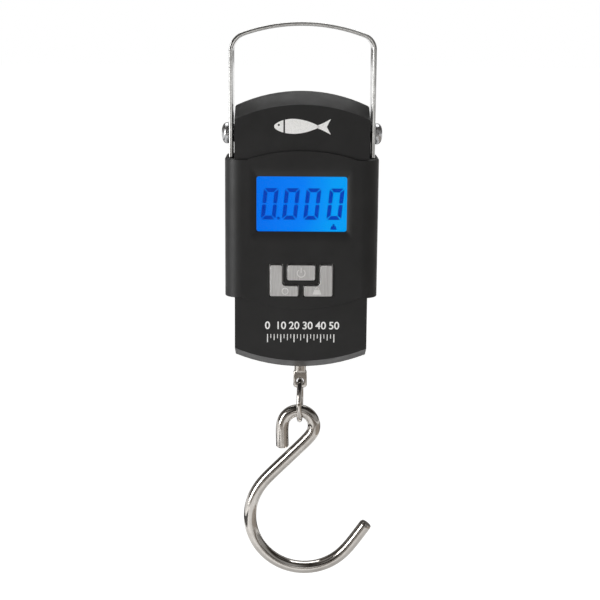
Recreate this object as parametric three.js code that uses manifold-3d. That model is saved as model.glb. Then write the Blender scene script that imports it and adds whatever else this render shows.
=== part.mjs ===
// A hanging digital scale: a moulded body that slides on a steel strap handle, with a load cell
// inside, a display and three buttons in front, two AAA cells behind, and a hook on a ring below.
//
// Millimetres, +Z up, the display faces -Y. The origin is where a hand or a hook bears on the
// underside of the handle's arch, on the line of the load.

import * as THREE from "three";
import { mergeVertices } from "three/addons/utils/BufferGeometryUtils.js";
import Module from "manifold-3d";

const wasm = await Module();
wasm.setup();

// ---------------------------------------------------------------- driving dimensions

const GAP = 0.3; // left between solids that are cut to fit each other
const CUT = 1; // how far a cutting solid runs past the face it opens

// Handle: a flat steel strap bent into an arch with two straight legs.
const STRAP_HALF_WIDTH = 28.6;
const STRAP_THICKNESS = 1.5;
const STRAP_HALF_DEPTH = 7.5;
const ARCH_RADIUS = 69;
const BEND_RADIUS_LEFT = 8;
const BEND_RADIUS_RIGHT = 6.4;
const LEG_END = -78;
const SLOT_HALF_WIDTH = 2.3;
const SLOT_TOP = -33.3;
const SLOT_BOTTOM = -66;

// Body: straight sides, a shallow arc above and below, and a broad bevel along each arc.
const BODY_HALF_WIDTH = 26.2;
const BODY_HALF_DEPTH = 13.2;
const BODY_TOP = -25.3;
const BODY_TOP_CORNER = -31.1;
const BODY_BOTTOM = -135.8;
const BODY_BOTTOM_CORNER = -130.7;
const BEVEL_HEIGHT = 4.5;
const BEVEL_DEPTH = 8.6;
const WALL = 1.9;
const CAVITY_HALF_DEPTH = 11.6;
const PARTING = GAP / 2; // each shell stops this far from the middle plane
const LIP = { inset: 0.9, reach: 0.8 }; // on the front shell, inside the rear one's wall
const RIB = { x: 13, half: 0.75 }; // the ribs that hold the yoke bar fore and aft
const ROOT = 0.5; // how far a rib or a post is sunk into the wall it stands on

// Sleeve: the wider middle of the body, which hides the ends of the strap.
const SLEEVE_HALF_WIDTH = 30.15;
const SLEEVE_HALF_DEPTH = 14;
const SLEEVE_TOP = -50.8;
const SLEEVE_BOTTOM = -105.7;
const SLEEVE_CORNER_WIDTH = 7;
const SLEEVE_CORNER_DEPTH = 5.5;
const SLEEVE_EDGE = 0.35;
const PANEL_ARCH_TOP = -47.5;
const PANEL_ARCH_HALF = 21;
const PANEL_ARC_BOTTOM = -110;
const PANEL_ARC_HALF = 22.5;
const CHANNEL_OUTER = 29.1;
const CHANNEL_HALF_DEPTH = 8.1;

// Display: a bevelled recess with the window, the liquid crystal panel and its light behind.
const RECESS = { halfWidth: 20.4, top: -53.6, bottom: -83.2, corner: 1.4 };
const APERTURE = { halfWidth: 17.7, top: -57.6, bottom: -79.3, corner: 0.9 };
const RECESS_FLOOR = 12.6;
const DISPLAY_FRAME = { halfWidth: 20.4, top: -53.8, bottom: -83.2, wall: 0.7 };
const WINDOW = { halfWidth: 19.2, top: -55.6, bottom: -81.4, front: 11.5, back: 10.5 };
const LCD = { halfWidth: 18.4, top: -54.6, bottom: -82, front: 10.3, back: 8.7 };
const BACKLIGHT = { halfWidth: 18.4, top: -57.4, bottom: -81.6, front: 8.5, back: 7 };
const CONTACT_STRIP = { halfWidth: 16, top: -54.9, bottom: -56.8, front: 8.6, back: 6.7 };
const BOARD = { halfWidth: 23.2, top: -53.5, bottom: -112, front: 6.6, back: 5.6 };
const CHIP_COVER = { radius: 5, height: 1.3, x: -13, z: -70 };

// Buttons: one bar in the middle, embraced by two L shapes.
const BUTTON_TOP = -92.3;
const BUTTON_BOTTOM = -104.7;
const BAR_BOTTOM = -98.3;
const BAR_HALF_WIDTH = 5.35;
const ELL_OUTER = 12.2;
const ELL_INNER = 7.55;
const ELL_FOOT_TOP = -100.6;
const ELL_FOOT_END = 1.25;
const ELL_FILLET = 1.5;
const BUTTON_CORNER = 0.5;
const BUTTON_FRONT = 14.8;
const BUTTON_CLEARANCE = 0.45;
const FLANGE_MARGIN = 0.7;
const FLANGE_FRONT = 11.5;
const FLANGE_BACK = 10.5;
const SWITCH_HALF = 2.6;
const SWITCH_FRONT = 8.7;
const PLUNGER_RADIUS = 1.5;

// Load path: side screws, yoke bar, bolt, load cell, hanger, ring and hook.
const SCREW_Z = -41.8;
const SCREW_RADIUS = 2;
const SCREW_HEAD_RADIUS = 4.15;
const SCREW_HEAD_BASE = 28.85;
const SCREW_HEAD_TOP = 31.8;
const SCREW_REACH = 10; // into the yoke bar
const BORE_RADIUS = 2.3;
const WASHER_RADIUS = 3.6;
const YOKE_HALF_WIDTH = 23.9;
const YOKE_HALF = 4;
const CELL_HALF_WIDTH = 6.2;
const CELL_HALF_DEPTH = 4.7;
const CELL_TOP = -46.1;
const CELL_BOTTOM = -106;
const CELL_TAPPED = 11; // depth of the tapped hole in each end
const CELL_CUTS = { reach: 3.6, upper: [-62.4, -61.2], lower: [-90.9, -89.7] };
const CELL_WINDOW = { radius: 3.6, top: -72, bottom: -80, slotHalf: 1.2 };
const GAUGE = { thickness: 0.3, halfDepth: 2.5, z: [-81, -71] };
const BOLT_RADIUS = 2.5;
const NUT_RADIUS = 4.6;
const NUT_HEIGHT = 3;
const BOLT_HEAD_HEIGHT = 3.5;
const HANGER_HALF_WIDTH = 2.75;
const HANGER_HALF_DEPTH = 1.5;
const HANGER_ROD_RADIUS = 2.4;
const HANGER_TONGUE_TOP = -126;
const HANGER_HOLE_Z = -143.1;
const HANGER_HOLE_RADIUS = 1.6;
const HANGER_EXIT_RADIUS = 3.5;
const RING_RADIUS = 8.2;
const RING_WIRE = 1.03;
const RING_TURN = -3; // degrees about the vertical, out of the side plane
const HOOK_WIRE = 2.6;
const HOOK_EYE_RADIUS = 6.8;
const HOOK_EYE_X = -0.6;
const HOOK_BOWL_RADIUS = 23.1;
const HOOK_SLOPE = 45; // degrees from level of the straight shank
const HOOK_SHANK = 25.8;
const HOOK_EYE_LEG = 9.1;
const HOOK_BOWL_END = -35; // degrees: where the bowl straightens into the tip
const HOOK_TIP = 12.4;

// Power: two AAA cells in bays either side of the load cell.
const BATTERY_RADIUS = 5.25;
const BATTERY_LENGTH = 44.5;
const BATTERY_NUB_RADIUS = 1.9;
const BATTERY_X = 15.2;
const BATTERY_Y = 6.6;
const BAY = { inner: 8.4, outer: 23.1, top: -54.2, bottom: -105.8, front: 1.05, wall: 1.2 };
const BAY_END_GAP = 1.1;
const SPRING = { length: 5.1, turns: 3.5, wide: 3.8, narrow: 2.2, wire: 0.3 };
const CONTACT = { half: 4, near: 0.3, far: 0.7, tabHalf: 1, tabDepth: [9, 9.5], tabReach: 3 };
const DOOR = { halfWidth: 21.9, top: -54.3, bottom: -105.7, front: 12.2 };
const DOOR_GROOVES = { count: 4, halfWidth: 7, half: 0.4, depth: 0.5, first: 3.5, pitch: 1.6 };
const BRIDGE_THICKNESS = 1.6;

// Fasteners of the shells and of the board.
const CASE_SCREWS = [
  { name: "case_screw_top_left", x: -14, z: -33.2 },
  { name: "case_screw_top_right", x: 14, z: -33.2 },
  { name: "case_screw_bottom_left", x: -19.5, z: -120.5 },
  { name: "case_screw_bottom_right", x: 19.5, z: -120.5 },
];
const CASE_SCREW = { shank: 1.25, head: 2.5, seat: 8.3, headHeight: 2, end: -6.5, pilot: -8 };
const CASE_POST_RADIUS = 3;
const CASE_SLEEVE_RADIUS = 3.7;
const BOARD_SCREWS = [
  { name: "board_screw_top_left", x: -21.2, z: -56 },
  { name: "board_screw_top_right", x: 21.2, z: -56 },
  { name: "board_screw_bottom_left", x: -21.2, z: -109 },
  { name: "board_screw_bottom_right", x: 21.2, z: -109 },
];
const BOARD_SCREW = { shank: 0.75, head: 1.8, headHeight: 1.2, end: 10.2, pilot: -11 };
const BOARD_POST_RADIUS = 1.9;

// ---------------------------------------------------------------- materials

function finish(color, roughness, metalness) {
  return new THREE.MeshStandardMaterial({ color, roughness, metalness });
}

const BLACK_PLASTIC = finish(0x17181a, 0.55, 0);
const POLISHED_STEEL = finish(0xc9c9c6, 0.18, 1);
const PLATED_STEEL = finish(0xb9b4a8, 0.22, 1);
const ZINC_STEEL = finish(0xa4a8ac, 0.4, 1);
const BRUSHED_SILVER = finish(0xb2b4b6, 0.35, 0.8);
const ALUMINIUM = finish(0xc4c6c8, 0.4, 1);
const CLEAR_PLASTIC = finish(0xdfeaf2, 0.08, 0);
const BLUE_DISPLAY = finish(0x0a84ff, 0.2, 0);
const MILKY_PLASTIC = finish(0xe8ecee, 0.5, 0);
const GREEN_BOARD = finish(0x1f5a35, 0.5, 0);
const EPOXY = finish(0x101010, 0.35, 0);
const NYLON = finish(0x24262a, 0.5, 0);
const PINK_RUBBER = finish(0xb98e8a, 0.7, 0);
const AMBER_FILM = finish(0xb5722a, 0.4, 0);
const CELL_JACKET = finish(0x2f4f6f, 0.35, 0.2);
const RED_WIRE = finish(0xb02020, 0.5, 0);
const BLACK_WIRE = finish(0x1a1a1a, 0.5, 0);
const GREY_WIRE = finish(0x8d9095, 0.5, 0);

// ---------------------------------------------------------------- solids

// A closed three.js geometry as a solid that can be joined and cut.
function solid(geometry) {
  const bare = geometry.index ? geometry.toNonIndexed() : geometry.clone();
  bare.deleteAttribute("normal");
  bare.deleteAttribute("uv");
  const merged = mergeVertices(bare, 1e-4);
  const vertProperties = merged.attributes.position.array;
  const triVerts = new Uint32Array(merged.index.array);
  return new wasm.Manifold(new wasm.Mesh({ numProp: 3, vertProperties, triVerts }));
}

function join(first, ...others) {
  return others.reduce((whole, other) => whole.add(other), first);
}

function cut(first, ...others) {
  return others.reduce((whole, other) => whole.subtract(other), first);
}

function box([x0, x1], [y0, y1], [z0, z1]) {
  const geometry = new THREE.BoxGeometry(x1 - x0, y1 - y0, z1 - z0);
  geometry.translate((x0 + x1) / 2, (y0 + y1) / 2, (z0 + z1) / 2);
  return solid(geometry);
}

// A plate facing the front. front and back are distances ahead of the middle plane.
function plate({ halfWidth, top, bottom, front, back }) {
  return box([-halfWidth, halfWidth], [-front, -back], [bottom, top]);
}

// A round bar along one axis. The centre holds the other two coordinates, in X, Y, Z order.
function bar(axis, radius, [from, to], [a, b], sides = 20) {
  const geometry = new THREE.CylinderGeometry(radius, radius, to - from, sides);
  const middle = (from + to) / 2;
  if (axis === "x") {
    geometry.rotateZ(-Math.PI / 2);
    geometry.translate(middle, a, b);
  } else if (axis === "y") {
    geometry.translate(a, middle, b);
  } else {
    geometry.rotateX(Math.PI / 2);
    geometry.translate(a, b, middle);
  }
  return solid(geometry);
}

// A closed skin through outlines stacked along +Z. The outlines run anticlockwise and match.
function loft(levels) {
  const count = levels[0].outline.length;
  const positions = levels.flatMap(({ at, outline }) => outline.flatMap((p) => [p.x, p.y, at]));
  const triangles = [];
  for (let i = 0; i + 1 < levels.length; i++) {
    for (let j = 0; j < count; j++) {
      const a = i * count + j;
      const b = i * count + ((j + 1) % count);
      triangles.push(a, b, b + count, a, b + count, a + count);
    }
  }
  const last = (levels.length - 1) * count;
  for (const [a, b, c] of THREE.ShapeUtils.triangulateShape(levels[0].outline, [])) {
    triangles.push(a, c, b);
  }
  for (const [a, b, c] of THREE.ShapeUtils.triangulateShape(levels.at(-1).outline, [])) {
    triangles.push(last + a, last + b, last + c);
  }
  const geometry = new THREE.BufferGeometry();
  geometry.setAttribute("position", new THREE.Float32BufferAttribute(positions, 3));
  geometry.setIndex(triangles);
  return geometry;
}

// The same, for outlines drawn as seen from the front. Levels are distances ahead of the middle.
function frontLoft(levels) {
  return loft(levels).rotateX(Math.PI / 2);
}

// A shape drawn as seen from the front, from one distance ahead of the middle plane to another.
function slab(shape, back, front) {
  const geometry = new THREE.ExtrudeGeometry(shape, { depth: front - back, bevelEnabled: false });
  return solid(geometry.translate(0, 0, back).rotateX(Math.PI / 2));
}

// A round wire along a smooth curve through the points.
function wire(points, radius, sides, steps) {
  const section = new THREE.Shape();
  section.absarc(0, 0, radius, 0, 2 * Math.PI, false);
  const extrudePath = new THREE.CatmullRomCurve3(points, false, "centripetal");
  return new THREE.ExtrudeGeometry(section, { extrudePath, steps, curveSegments: sides / 2 });
}

function degrees(angle) {
  return THREE.MathUtils.degToRad(angle);
}

// Points of an arc drawn as seen from the front, both ends included.
function arc(x, z, radius, from, to, steps) {
  return Array.from({ length: steps + 1 }, (_, i) => {
    const angle = degrees(from + ((to - from) * i) / steps);
    return new THREE.Vector2(x + radius * Math.cos(angle), z + radius * Math.sin(angle));
  });
}

// A rectangle with rounded corners, as an outline.
function rectangle(left, right, bottom, top, corner) {
  const steps = 3;
  return [
    ...arc(left + corner, bottom + corner, corner, 180, 270, steps),
    ...arc(right - corner, bottom + corner, corner, 270, 360, steps),
    ...arc(right - corner, top - corner, corner, 0, 90, steps),
    ...arc(left + corner, top - corner, corner, 90, 180, steps),
  ];
}

// ---------------------------------------------------------------- shells

// How far a shallow arc falls at x, given its rise over a half chord.
function arcFall(x, halfChord, rise) {
  const radius = (halfChord * halfChord + rise * rise) / (2 * rise);
  return radius - Math.sqrt(radius * radius - x * x);
}

// The body's outline, inset all round, with its two arcs drawn in further by the bevel.
function bodyOutline(inset, bevel) {
  const half = BODY_HALF_WIDTH - inset;
  const steps = 16;
  const across = Array.from({ length: steps + 1 }, (_, i) => half * ((2 * i) / steps - 1));
  const topRise = BODY_TOP - BODY_TOP_CORNER;
  const bottomRise = BODY_BOTTOM_CORNER - BODY_BOTTOM;
  const low = (x) => BODY_BOTTOM + arcFall(x, BODY_HALF_WIDTH, bottomRise) + inset + bevel;
  const high = (x) => BODY_TOP - arcFall(x, BODY_HALF_WIDTH, topRise) - inset - bevel;
  return [
    ...across.map((x) => new THREE.Vector2(x, low(x))),
    ...across.map((x) => new THREE.Vector2(-x, high(x))),
  ];
}

function bodyHalf() {
  return solid(
    frontLoft([
      { at: PARTING, outline: bodyOutline(0, 0) },
      { at: BODY_HALF_DEPTH - BEVEL_DEPTH, outline: bodyOutline(0, 0) },
      { at: BODY_HALF_DEPTH, outline: bodyOutline(0, BEVEL_HEIGHT) },
    ]),
  );
}

function bodyCavity() {
  return solid(
    frontLoft([
      { at: -CUT, outline: bodyOutline(WALL, 0) },
      { at: BODY_HALF_DEPTH - BEVEL_DEPTH - GAP, outline: bodyOutline(WALL, 0) },
      { at: CAVITY_HALF_DEPTH, outline: bodyOutline(WALL, BEVEL_HEIGHT) },
    ]),
  );
}

// The sleeve's plan, from the parting plane to its rounded front corners.
function sleevePlan(inset) {
  const half = SLEEVE_HALF_WIDTH - inset;
  const front = SLEEVE_HALF_DEPTH - inset;
  const steps = 6;
  const corner = (side, from, to) =>
    Array.from({ length: steps + 1 }, (_, i) => {
      const angle = degrees(from + ((to - from) * i) / steps);
      const x = side * (half - SLEEVE_CORNER_WIDTH) + SLEEVE_CORNER_WIDTH * Math.cos(angle);
      const y = SLEEVE_CORNER_DEPTH - front + SLEEVE_CORNER_DEPTH * Math.sin(angle);
      return new THREE.Vector2(x, y);
    });
  return [
    new THREE.Vector2(half, -PARTING),
    new THREE.Vector2(-half, -PARTING),
    ...corner(-1, 180, 270),
    ...corner(1, 270, 360),
  ];
}

function sleeveHalf() {
  return solid(
    loft([
      { at: SLEEVE_BOTTOM, outline: sleevePlan(SLEEVE_EDGE) },
      { at: SLEEVE_BOTTOM + SLEEVE_EDGE, outline: sleevePlan(0) },
      { at: SLEEVE_TOP - SLEEVE_EDGE, outline: sleevePlan(0) },
      { at: SLEEVE_TOP, outline: sleevePlan(SLEEVE_EDGE) },
    ]),
  );
}

// The sleeve's face runs up and down over the body in two shallow arcs.
function archedPanel() {
  const topRise = PANEL_ARCH_TOP - SLEEVE_TOP;
  const bottomRise = SLEEVE_BOTTOM - PANEL_ARC_BOTTOM;
  const steps = 12;
  const across = Array.from({ length: steps + 1 }, (_, i) => (2 * i) / steps - 1);
  const low = across.map((t) => {
    const x = t * PANEL_ARC_HALF;
    return new THREE.Vector2(x, PANEL_ARC_BOTTOM + arcFall(x, PANEL_ARC_HALF, bottomRise));
  });
  const high = across.map((t) => {
    const x = -t * PANEL_ARCH_HALF;
    return new THREE.Vector2(x, PANEL_ARCH_TOP - arcFall(x, PANEL_ARCH_HALF, topRise));
  });
  return slab(new THREE.Shape([...low, ...high]), CAVITY_HALF_DEPTH, SLEEVE_HALF_DEPTH);
}

// The two slots down the sides of the sleeve that the strap's legs slide in.
function strapChannels() {
  const depth = [-CHANNEL_HALF_DEPTH, CUT];
  const height = [SLEEVE_BOTTOM - CUT, SLEEVE_TOP + CUT];
  return join(
    box([BODY_HALF_WIDTH, CHANNEL_OUTER], depth, height),
    box([-CHANNEL_OUTER, -BODY_HALF_WIDTH], depth, height),
  );
}

// The holes through the walls that the side screws and the hanger pass through.
function loadHoles() {
  return join(
    bar("x", BORE_RADIUS, [-STRAP_HALF_WIDTH, STRAP_HALF_WIDTH], [0, SCREW_Z]),
    bar("z", HANGER_EXIT_RADIUS, [BODY_BOTTOM - CUT, CELL_BOTTOM], [0, 0]),
  );
}

// A band that follows the body's outline across the middle plane, between two insets.
function parting(outer, inner, behind, ahead) {
  const prism = (inset, margin) => {
    const outline = bodyOutline(inset, 0);
    return solid(frontLoft([{ at: -behind - margin, outline }, { at: ahead + margin, outline }]));
  };
  return cut(prism(outer, 0), prism(inner, CUT));
}

// One shell, still without the features of its own face, as the front half.
function plainShell() {
  const outside = join(bodyHalf(), sleeveHalf(), archedPanel());
  const shell = cut(outside, bodyCavity(), strapChannels());
  const ribs = [-RIB.x, RIB.x].map((x) =>
    box(
      [x - RIB.half, x + RIB.half],
      [-CAVITY_HALF_DEPTH - ROOT, -YOKE_HALF - GAP],
      [SCREW_Z - YOKE_HALF, SCREW_Z + YOKE_HALF],
    ),
  );
  return cut(join(shell, ...ribs), loadHoles());
}

function displayOpening() {
  const framed = ({ halfWidth, bottom, top, corner }) =>
    rectangle(-halfWidth, halfWidth, bottom, top, corner);
  const recess = frontLoft([
    { at: RECESS_FLOOR, outline: framed(APERTURE) },
    { at: SLEEVE_HALF_DEPTH + 0.01, outline: framed(RECESS) },
  ]);
  const hole = new THREE.Shape(framed(APERTURE));
  return join(solid(recess), slab(hole, CAVITY_HALF_DEPTH - CUT, RECESS_FLOOR + 0.1));
}

// The buttons' outlines, grown all round by a margin.
function barOutline(margin) {
  const half = BAR_HALF_WIDTH + margin;
  const corner = BUTTON_CORNER + margin / 2;
  return rectangle(-half, half, BAR_BOTTOM - margin, BUTTON_TOP + margin, corner);
}

function ellOutline(side, margin) {
  const outer = ELL_OUTER + margin;
  const inner = ELL_INNER - margin;
  const foot = ELL_FOOT_END - margin;
  const footTop = ELL_FOOT_TOP + margin;
  const top = BUTTON_TOP + margin;
  const bottom = BUTTON_BOTTOM - margin;
  const corner = BUTTON_CORNER + margin / 2;
  const points = [
    ...arc(foot + corner, bottom + corner, corner, 180, 270, 3),
    ...arc(outer - corner, bottom + corner, corner, 270, 360, 3),
    ...arc(outer - corner, top - corner, corner, 0, 90, 3),
    ...arc(inner + corner, top - corner, corner, 90, 180, 3),
    ...arc(inner - ELL_FILLET, footTop + ELL_FILLET, ELL_FILLET, 360, 270, 4),
    ...arc(foot + corner, footTop - corner, corner, 90, 180, 3),
  ];
  return side > 0 ? points : points.map((p) => new THREE.Vector2(-p.x, p.y)).reverse();
}

const BUTTONS = [
  { name: "power", x: 0, z: -95.3, outline: barOutline },
  { name: "tare", x: -9.9, z: -98.5, outline: (margin) => ellOutline(-1, margin) },
  { name: "unit", x: 9.9, z: -98.5, outline: (margin) => ellOutline(1, margin) },
];

function frontHousing() {
  const post = (radius, { x, z }, back) =>
    bar("y", radius, [-CAVITY_HALF_DEPTH - ROOT, -back], [x, z], 12);
  const posts = [
    ...CASE_SCREWS.map((screw) => post(CASE_POST_RADIUS, screw, PARTING)),
    ...BOARD_SCREWS.map((screw) => post(BOARD_POST_RADIUS, screw, BOARD.front + GAP)),
  ];
  const pilot = ({ x, z }, { shank, pilot: end }) => bar("y", shank + GAP, [end, CUT], [x, z], 10);
  const pilots = [
    ...CASE_SCREWS.map((screw) => pilot(screw, CASE_SCREW)),
    ...BOARD_SCREWS.map((screw) => pilot(screw, BOARD_SCREW)),
  ];
  const { halfWidth, top, bottom, wall } = DISPLAY_FRAME;
  const insideWidth = halfWidth - wall;
  const displayFrame = cut(
    box([-halfWidth, halfWidth], [-CAVITY_HALF_DEPTH - ROOT, -BACKLIGHT.back], [bottom, top]),
    box([-insideWidth, insideWidth], [-CAVITY_HALF_DEPTH, 0], [bottom + wall, top - wall]),
  );
  const buttonHoles = BUTTONS.map(({ outline }) => {
    const hole = new THREE.Shape(outline(BUTTON_CLEARANCE));
    return slab(hole, CAVITY_HALF_DEPTH - CUT, SLEEVE_HALF_DEPTH + CUT);
  });
  const inside = join(...posts).intersect(bodyHalf());
  const lip = cut(parting(LIP.inset + GAP, WALL, LIP.reach, PARTING + ROOT), loadHoles());
  const shell = join(plainShell(), displayFrame, inside, lip);
  return cut(shell, displayOpening(), ...buttonHoles, ...pilots);
}

// One battery bay: a trough open to the rear, with slots for its contacts' tabs.
function batteryBay(side) {
  const across = (from, to) => (side > 0 ? [from, to] : [-to, -from]);
  const trough = box(
    across(BAY.inner - BAY.wall, BODY_HALF_WIDTH - WALL / 2),
    [PARTING, CAVITY_HALF_DEPTH + ROOT],
    [BAY.bottom - BAY.wall, BAY.top + BAY.wall],
  );
  const room = box(
    across(BAY.inner, BAY.outer),
    [BAY.front, DOOR.front],
    [BAY.bottom, BAY.top],
  );
  return { trough, room };
}

function rearHousing() {
  const turned = plainShell().rotate([0, 0, 180]);
  const bays = [-1, 1].map(batteryBay);
  const bridge = box(
    [-BAY.inner, BAY.inner],
    [DOOR.front - GAP - BRIDGE_THICKNESS, DOOR.front - GAP],
    [BAY.bottom - BAY.wall, BAY.top + BAY.wall],
  );
  const doorway = box(
    [-DOOR.halfWidth - GAP, DOOR.halfWidth + GAP],
    [DOOR.front - GAP, SLEEVE_HALF_DEPTH + CUT],
    [DOOR.bottom - GAP, DOOR.top + GAP],
  );
  const sleeves = CASE_SCREWS.map(({ x, z }) =>
    bar("y", CASE_SLEEVE_RADIUS, [PARTING, CAVITY_HALF_DEPTH + ROOT], [x, z], 16),
  );
  const inside = join(...sleeves).intersect(bodyHalf().rotate([0, 0, 180]));
  const screwHoles = CASE_SCREWS.map(({ x, z }) =>
    join(
      bar("y", CASE_SCREW.shank + GAP, [-CUT, CASE_SCREW.seat], [x, z], 12),
      bar("y", CASE_SCREW.head + GAP, [CASE_SCREW.seat - GAP, SLEEVE_HALF_DEPTH], [x, z], 16),
    ),
  );
  const tabHalf = CONTACT.tabHalf + GAP;
  const tabDepth = [CONTACT.tabDepth[0] - GAP, CONTACT.tabDepth[1] + GAP];
  const tabSlots = [-BATTERY_X, BATTERY_X].map((x) =>
    box([x - tabHalf, x + tabHalf], tabDepth, [BAY.top - CUT, BAY.top + BAY.wall + CUT]),
  );
  const rebate = parting(LIP.inset, WALL + GAP, LIP.reach + GAP, CUT);
  const whole = join(turned, ...bays.map((bay) => bay.trough), bridge, inside);
  const rooms = bays.map((bay) => bay.room);
  return cut(whole, ...rooms, doorway, ...screwHoles, ...tabSlots, rebate);
}

function batteryDoor() {
  const panel = box(
    [-DOOR.halfWidth, DOOR.halfWidth],
    [DOOR.front, SLEEVE_HALF_DEPTH],
    [DOOR.bottom, DOOR.top],
  );
  const { count, halfWidth, half, depth, first, pitch } = DOOR_GROOVES;
  const cutDepth = [SLEEVE_HALF_DEPTH - depth, SLEEVE_HALF_DEPTH + CUT];
  const grooves = Array.from({ length: count }, (_, i) => {
    const z = DOOR.top - first - pitch * i;
    return box([-halfWidth, halfWidth], cutDepth, [z - half, z + half]);
  });
  return cut(panel, ...grooves);
}

// ---------------------------------------------------------------- display and electronics

function circuitBoard() {
  const holes = BOARD_SCREWS.map(({ x, z }) =>
    bar("y", BOARD_SCREW.shank + 0.4, [-BOARD.front - CUT, -BOARD.back + CUT], [x, z], 10),
  );
  return cut(plate(BOARD), ...holes);
}

// The domed drop of resin over the bare chip, on the back of the board.
function chipCover() {
  const dome = new THREE.SphereGeometry(1, 16, 6, 0, 2 * Math.PI, 0, Math.PI / 2);
  const lid = new THREE.CircleGeometry(1, 16).rotateX(Math.PI / 2);
  const positions = [dome, lid].map((g) => g.toNonIndexed().attributes.position.array);
  const closed = new THREE.BufferGeometry();
  const all = new Float32Array(positions.flatMap((p) => [...p]));
  closed.setAttribute("position", new THREE.BufferAttribute(all, 3));
  const { radius, height, x, z } = CHIP_COVER;
  closed.scale(radius, height, radius).translate(x, -BOARD.back + 0.1, z);
  return solid(closed);
}

function buttonCap({ outline }) {
  return join(
    slab(new THREE.Shape(outline(0)), FLANGE_BACK, BUTTON_FRONT),
    slab(new THREE.Shape(outline(FLANGE_MARGIN)), FLANGE_BACK, FLANGE_FRONT),
  );
}

function switchBody({ x, z }) {
  const block = box(
    [x - SWITCH_HALF, x + SWITCH_HALF],
    [-SWITCH_FRONT, -BOARD.front - 0.1],
    [z - SWITCH_HALF, z + SWITCH_HALF],
  );
  const bore = [-SWITCH_FRONT - CUT, -BOARD.front - 0.4];
  return cut(block, bar("y", PLUNGER_RADIUS + GAP, bore, [x, z], 12));
}

function switchPlunger({ x, z }) {
  return bar("y", PLUNGER_RADIUS, [-FLANGE_BACK + 0.1, -SWITCH_FRONT + 0.8], [x, z], 12);
}

// ---------------------------------------------------------------- load path

// The strap's centre line: leg, bend, arch, bend, leg, drawn as seen from the front.
function strapLine(offset) {
  const half = STRAP_HALF_WIDTH - STRAP_THICKNESS + offset;
  const archRadius = ARCH_RADIUS + offset;
  const archCentre = -ARCH_RADIUS;
  const bend = (side, outerRadius) => {
    const inside = outerRadius - STRAP_THICKNESS;
    const radius = inside + offset;
    const x = side * (half - radius);
    const z = archCentre + Math.sqrt((archRadius - radius) ** 2 - x * x);
    const meets = THREE.MathUtils.radToDeg(Math.atan2(z - archCentre, x));
    return { x, z, radius, meets };
  };
  const left = bend(-1, BEND_RADIUS_LEFT);
  const right = bend(1, BEND_RADIUS_RIGHT);
  return [
    new THREE.Vector2(half, LEG_END),
    ...arc(right.x, right.z, right.radius, 0, right.meets, 6),
    ...arc(0, archCentre, archRadius, right.meets, left.meets, 14),
    ...arc(left.x, left.z, left.radius, left.meets, 180, 6),
    new THREE.Vector2(-half, LEG_END),
  ];
}

function handle() {
  const outline = [...strapLine(STRAP_THICKNESS), ...strapLine(0).reverse()];
  const strap = slab(new THREE.Shape(outline), -STRAP_HALF_DEPTH, STRAP_HALF_DEPTH);
  const across = [-STRAP_HALF_WIDTH - CUT, STRAP_HALF_WIDTH + CUT];
  const top = SLOT_TOP - SLOT_HALF_WIDTH;
  const bottom = SLOT_BOTTOM + SLOT_HALF_WIDTH;
  const slot = join(
    box(across, [-SLOT_HALF_WIDTH, SLOT_HALF_WIDTH], [bottom, top]),
    bar("x", SLOT_HALF_WIDTH, across, [0, top], 16),
    bar("x", SLOT_HALF_WIDTH, across, [0, bottom], 16),
  );
  return cut(strap, slot);
}

// A pan-head screw standing along +Z with its head's seat at zero, with a cross recess.
function panScrew(shank, length, head, headHeight, sides) {
  const crown = Array.from({ length: 5 }, (_, i) => {
    const angle = degrees(90 * (i / 4));
    return new THREE.Vector2(
      head * (0.62 + 0.38 * Math.cos(angle)),
      headHeight * (0.45 + 0.55 * Math.sin(angle)),
    );
  });
  const profile = [
    new THREE.Vector2(0, -length),
    new THREE.Vector2(shank, -length),
    new THREE.Vector2(shank, 0),
    new THREE.Vector2(head, 0),
    ...crown,
    new THREE.Vector2(0, headHeight),
  ];
  const turned = solid(new THREE.LatheGeometry(profile, sides).rotateX(Math.PI / 2));
  const arm = head * 0.55;
  const half = head * 0.11;
  const depth = [headHeight * 0.45, headHeight + CUT];
  return cut(turned, box([-arm, arm], [-half, half], depth), box([-half, half], [-arm, arm], depth));
}

function sideScrew(side) {
  const length = SCREW_HEAD_BASE - YOKE_HALF_WIDTH + SCREW_REACH;
  const height = SCREW_HEAD_TOP - SCREW_HEAD_BASE;
  const screw = panScrew(SCREW_RADIUS, length, SCREW_HEAD_RADIUS, height, 24);
  return screw.rotate([0, 90 * side, 0]).translate([side * SCREW_HEAD_BASE, 0, SCREW_Z]);
}

function sideWasher(side) {
  const span = [BODY_HALF_WIDTH + 0.1, STRAP_HALF_WIDTH - STRAP_THICKNESS - 0.1];
  const across = side > 0 ? span : [-span[1], -span[0]];
  const through = [across[0] - CUT, across[1] + CUT];
  const disc = bar("x", WASHER_RADIUS, across, [0, SCREW_Z], 24);
  return cut(disc, bar("x", BORE_RADIUS, through, [0, SCREW_Z]));
}

function yokeBar() {
  const level = [SCREW_Z - YOKE_HALF, SCREW_Z + YOKE_HALF];
  const block = box([-YOKE_HALF_WIDTH, YOKE_HALF_WIDTH], [-YOKE_HALF, YOKE_HALF], level);
  const sockets = [-1, 1].map((side) => {
    const span = [YOKE_HALF_WIDTH - SCREW_REACH - CUT, YOKE_HALF_WIDTH + CUT];
    return bar("x", BORE_RADIUS, side > 0 ? span : [-span[1], -span[0]], [0, SCREW_Z]);
  });
  const boltHole = bar("z", BOLT_RADIUS + GAP, [level[0] - CUT, level[1] + CUT], [0, 0]);
  return cut(block, ...sockets, boltHole);
}

function hexagon(radius, from, to) {
  const geometry = new THREE.CylinderGeometry(radius, radius, to - from, 6).rotateX(Math.PI / 2);
  return solid(geometry.translate(0, 0, (from + to) / 2));
}

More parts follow.
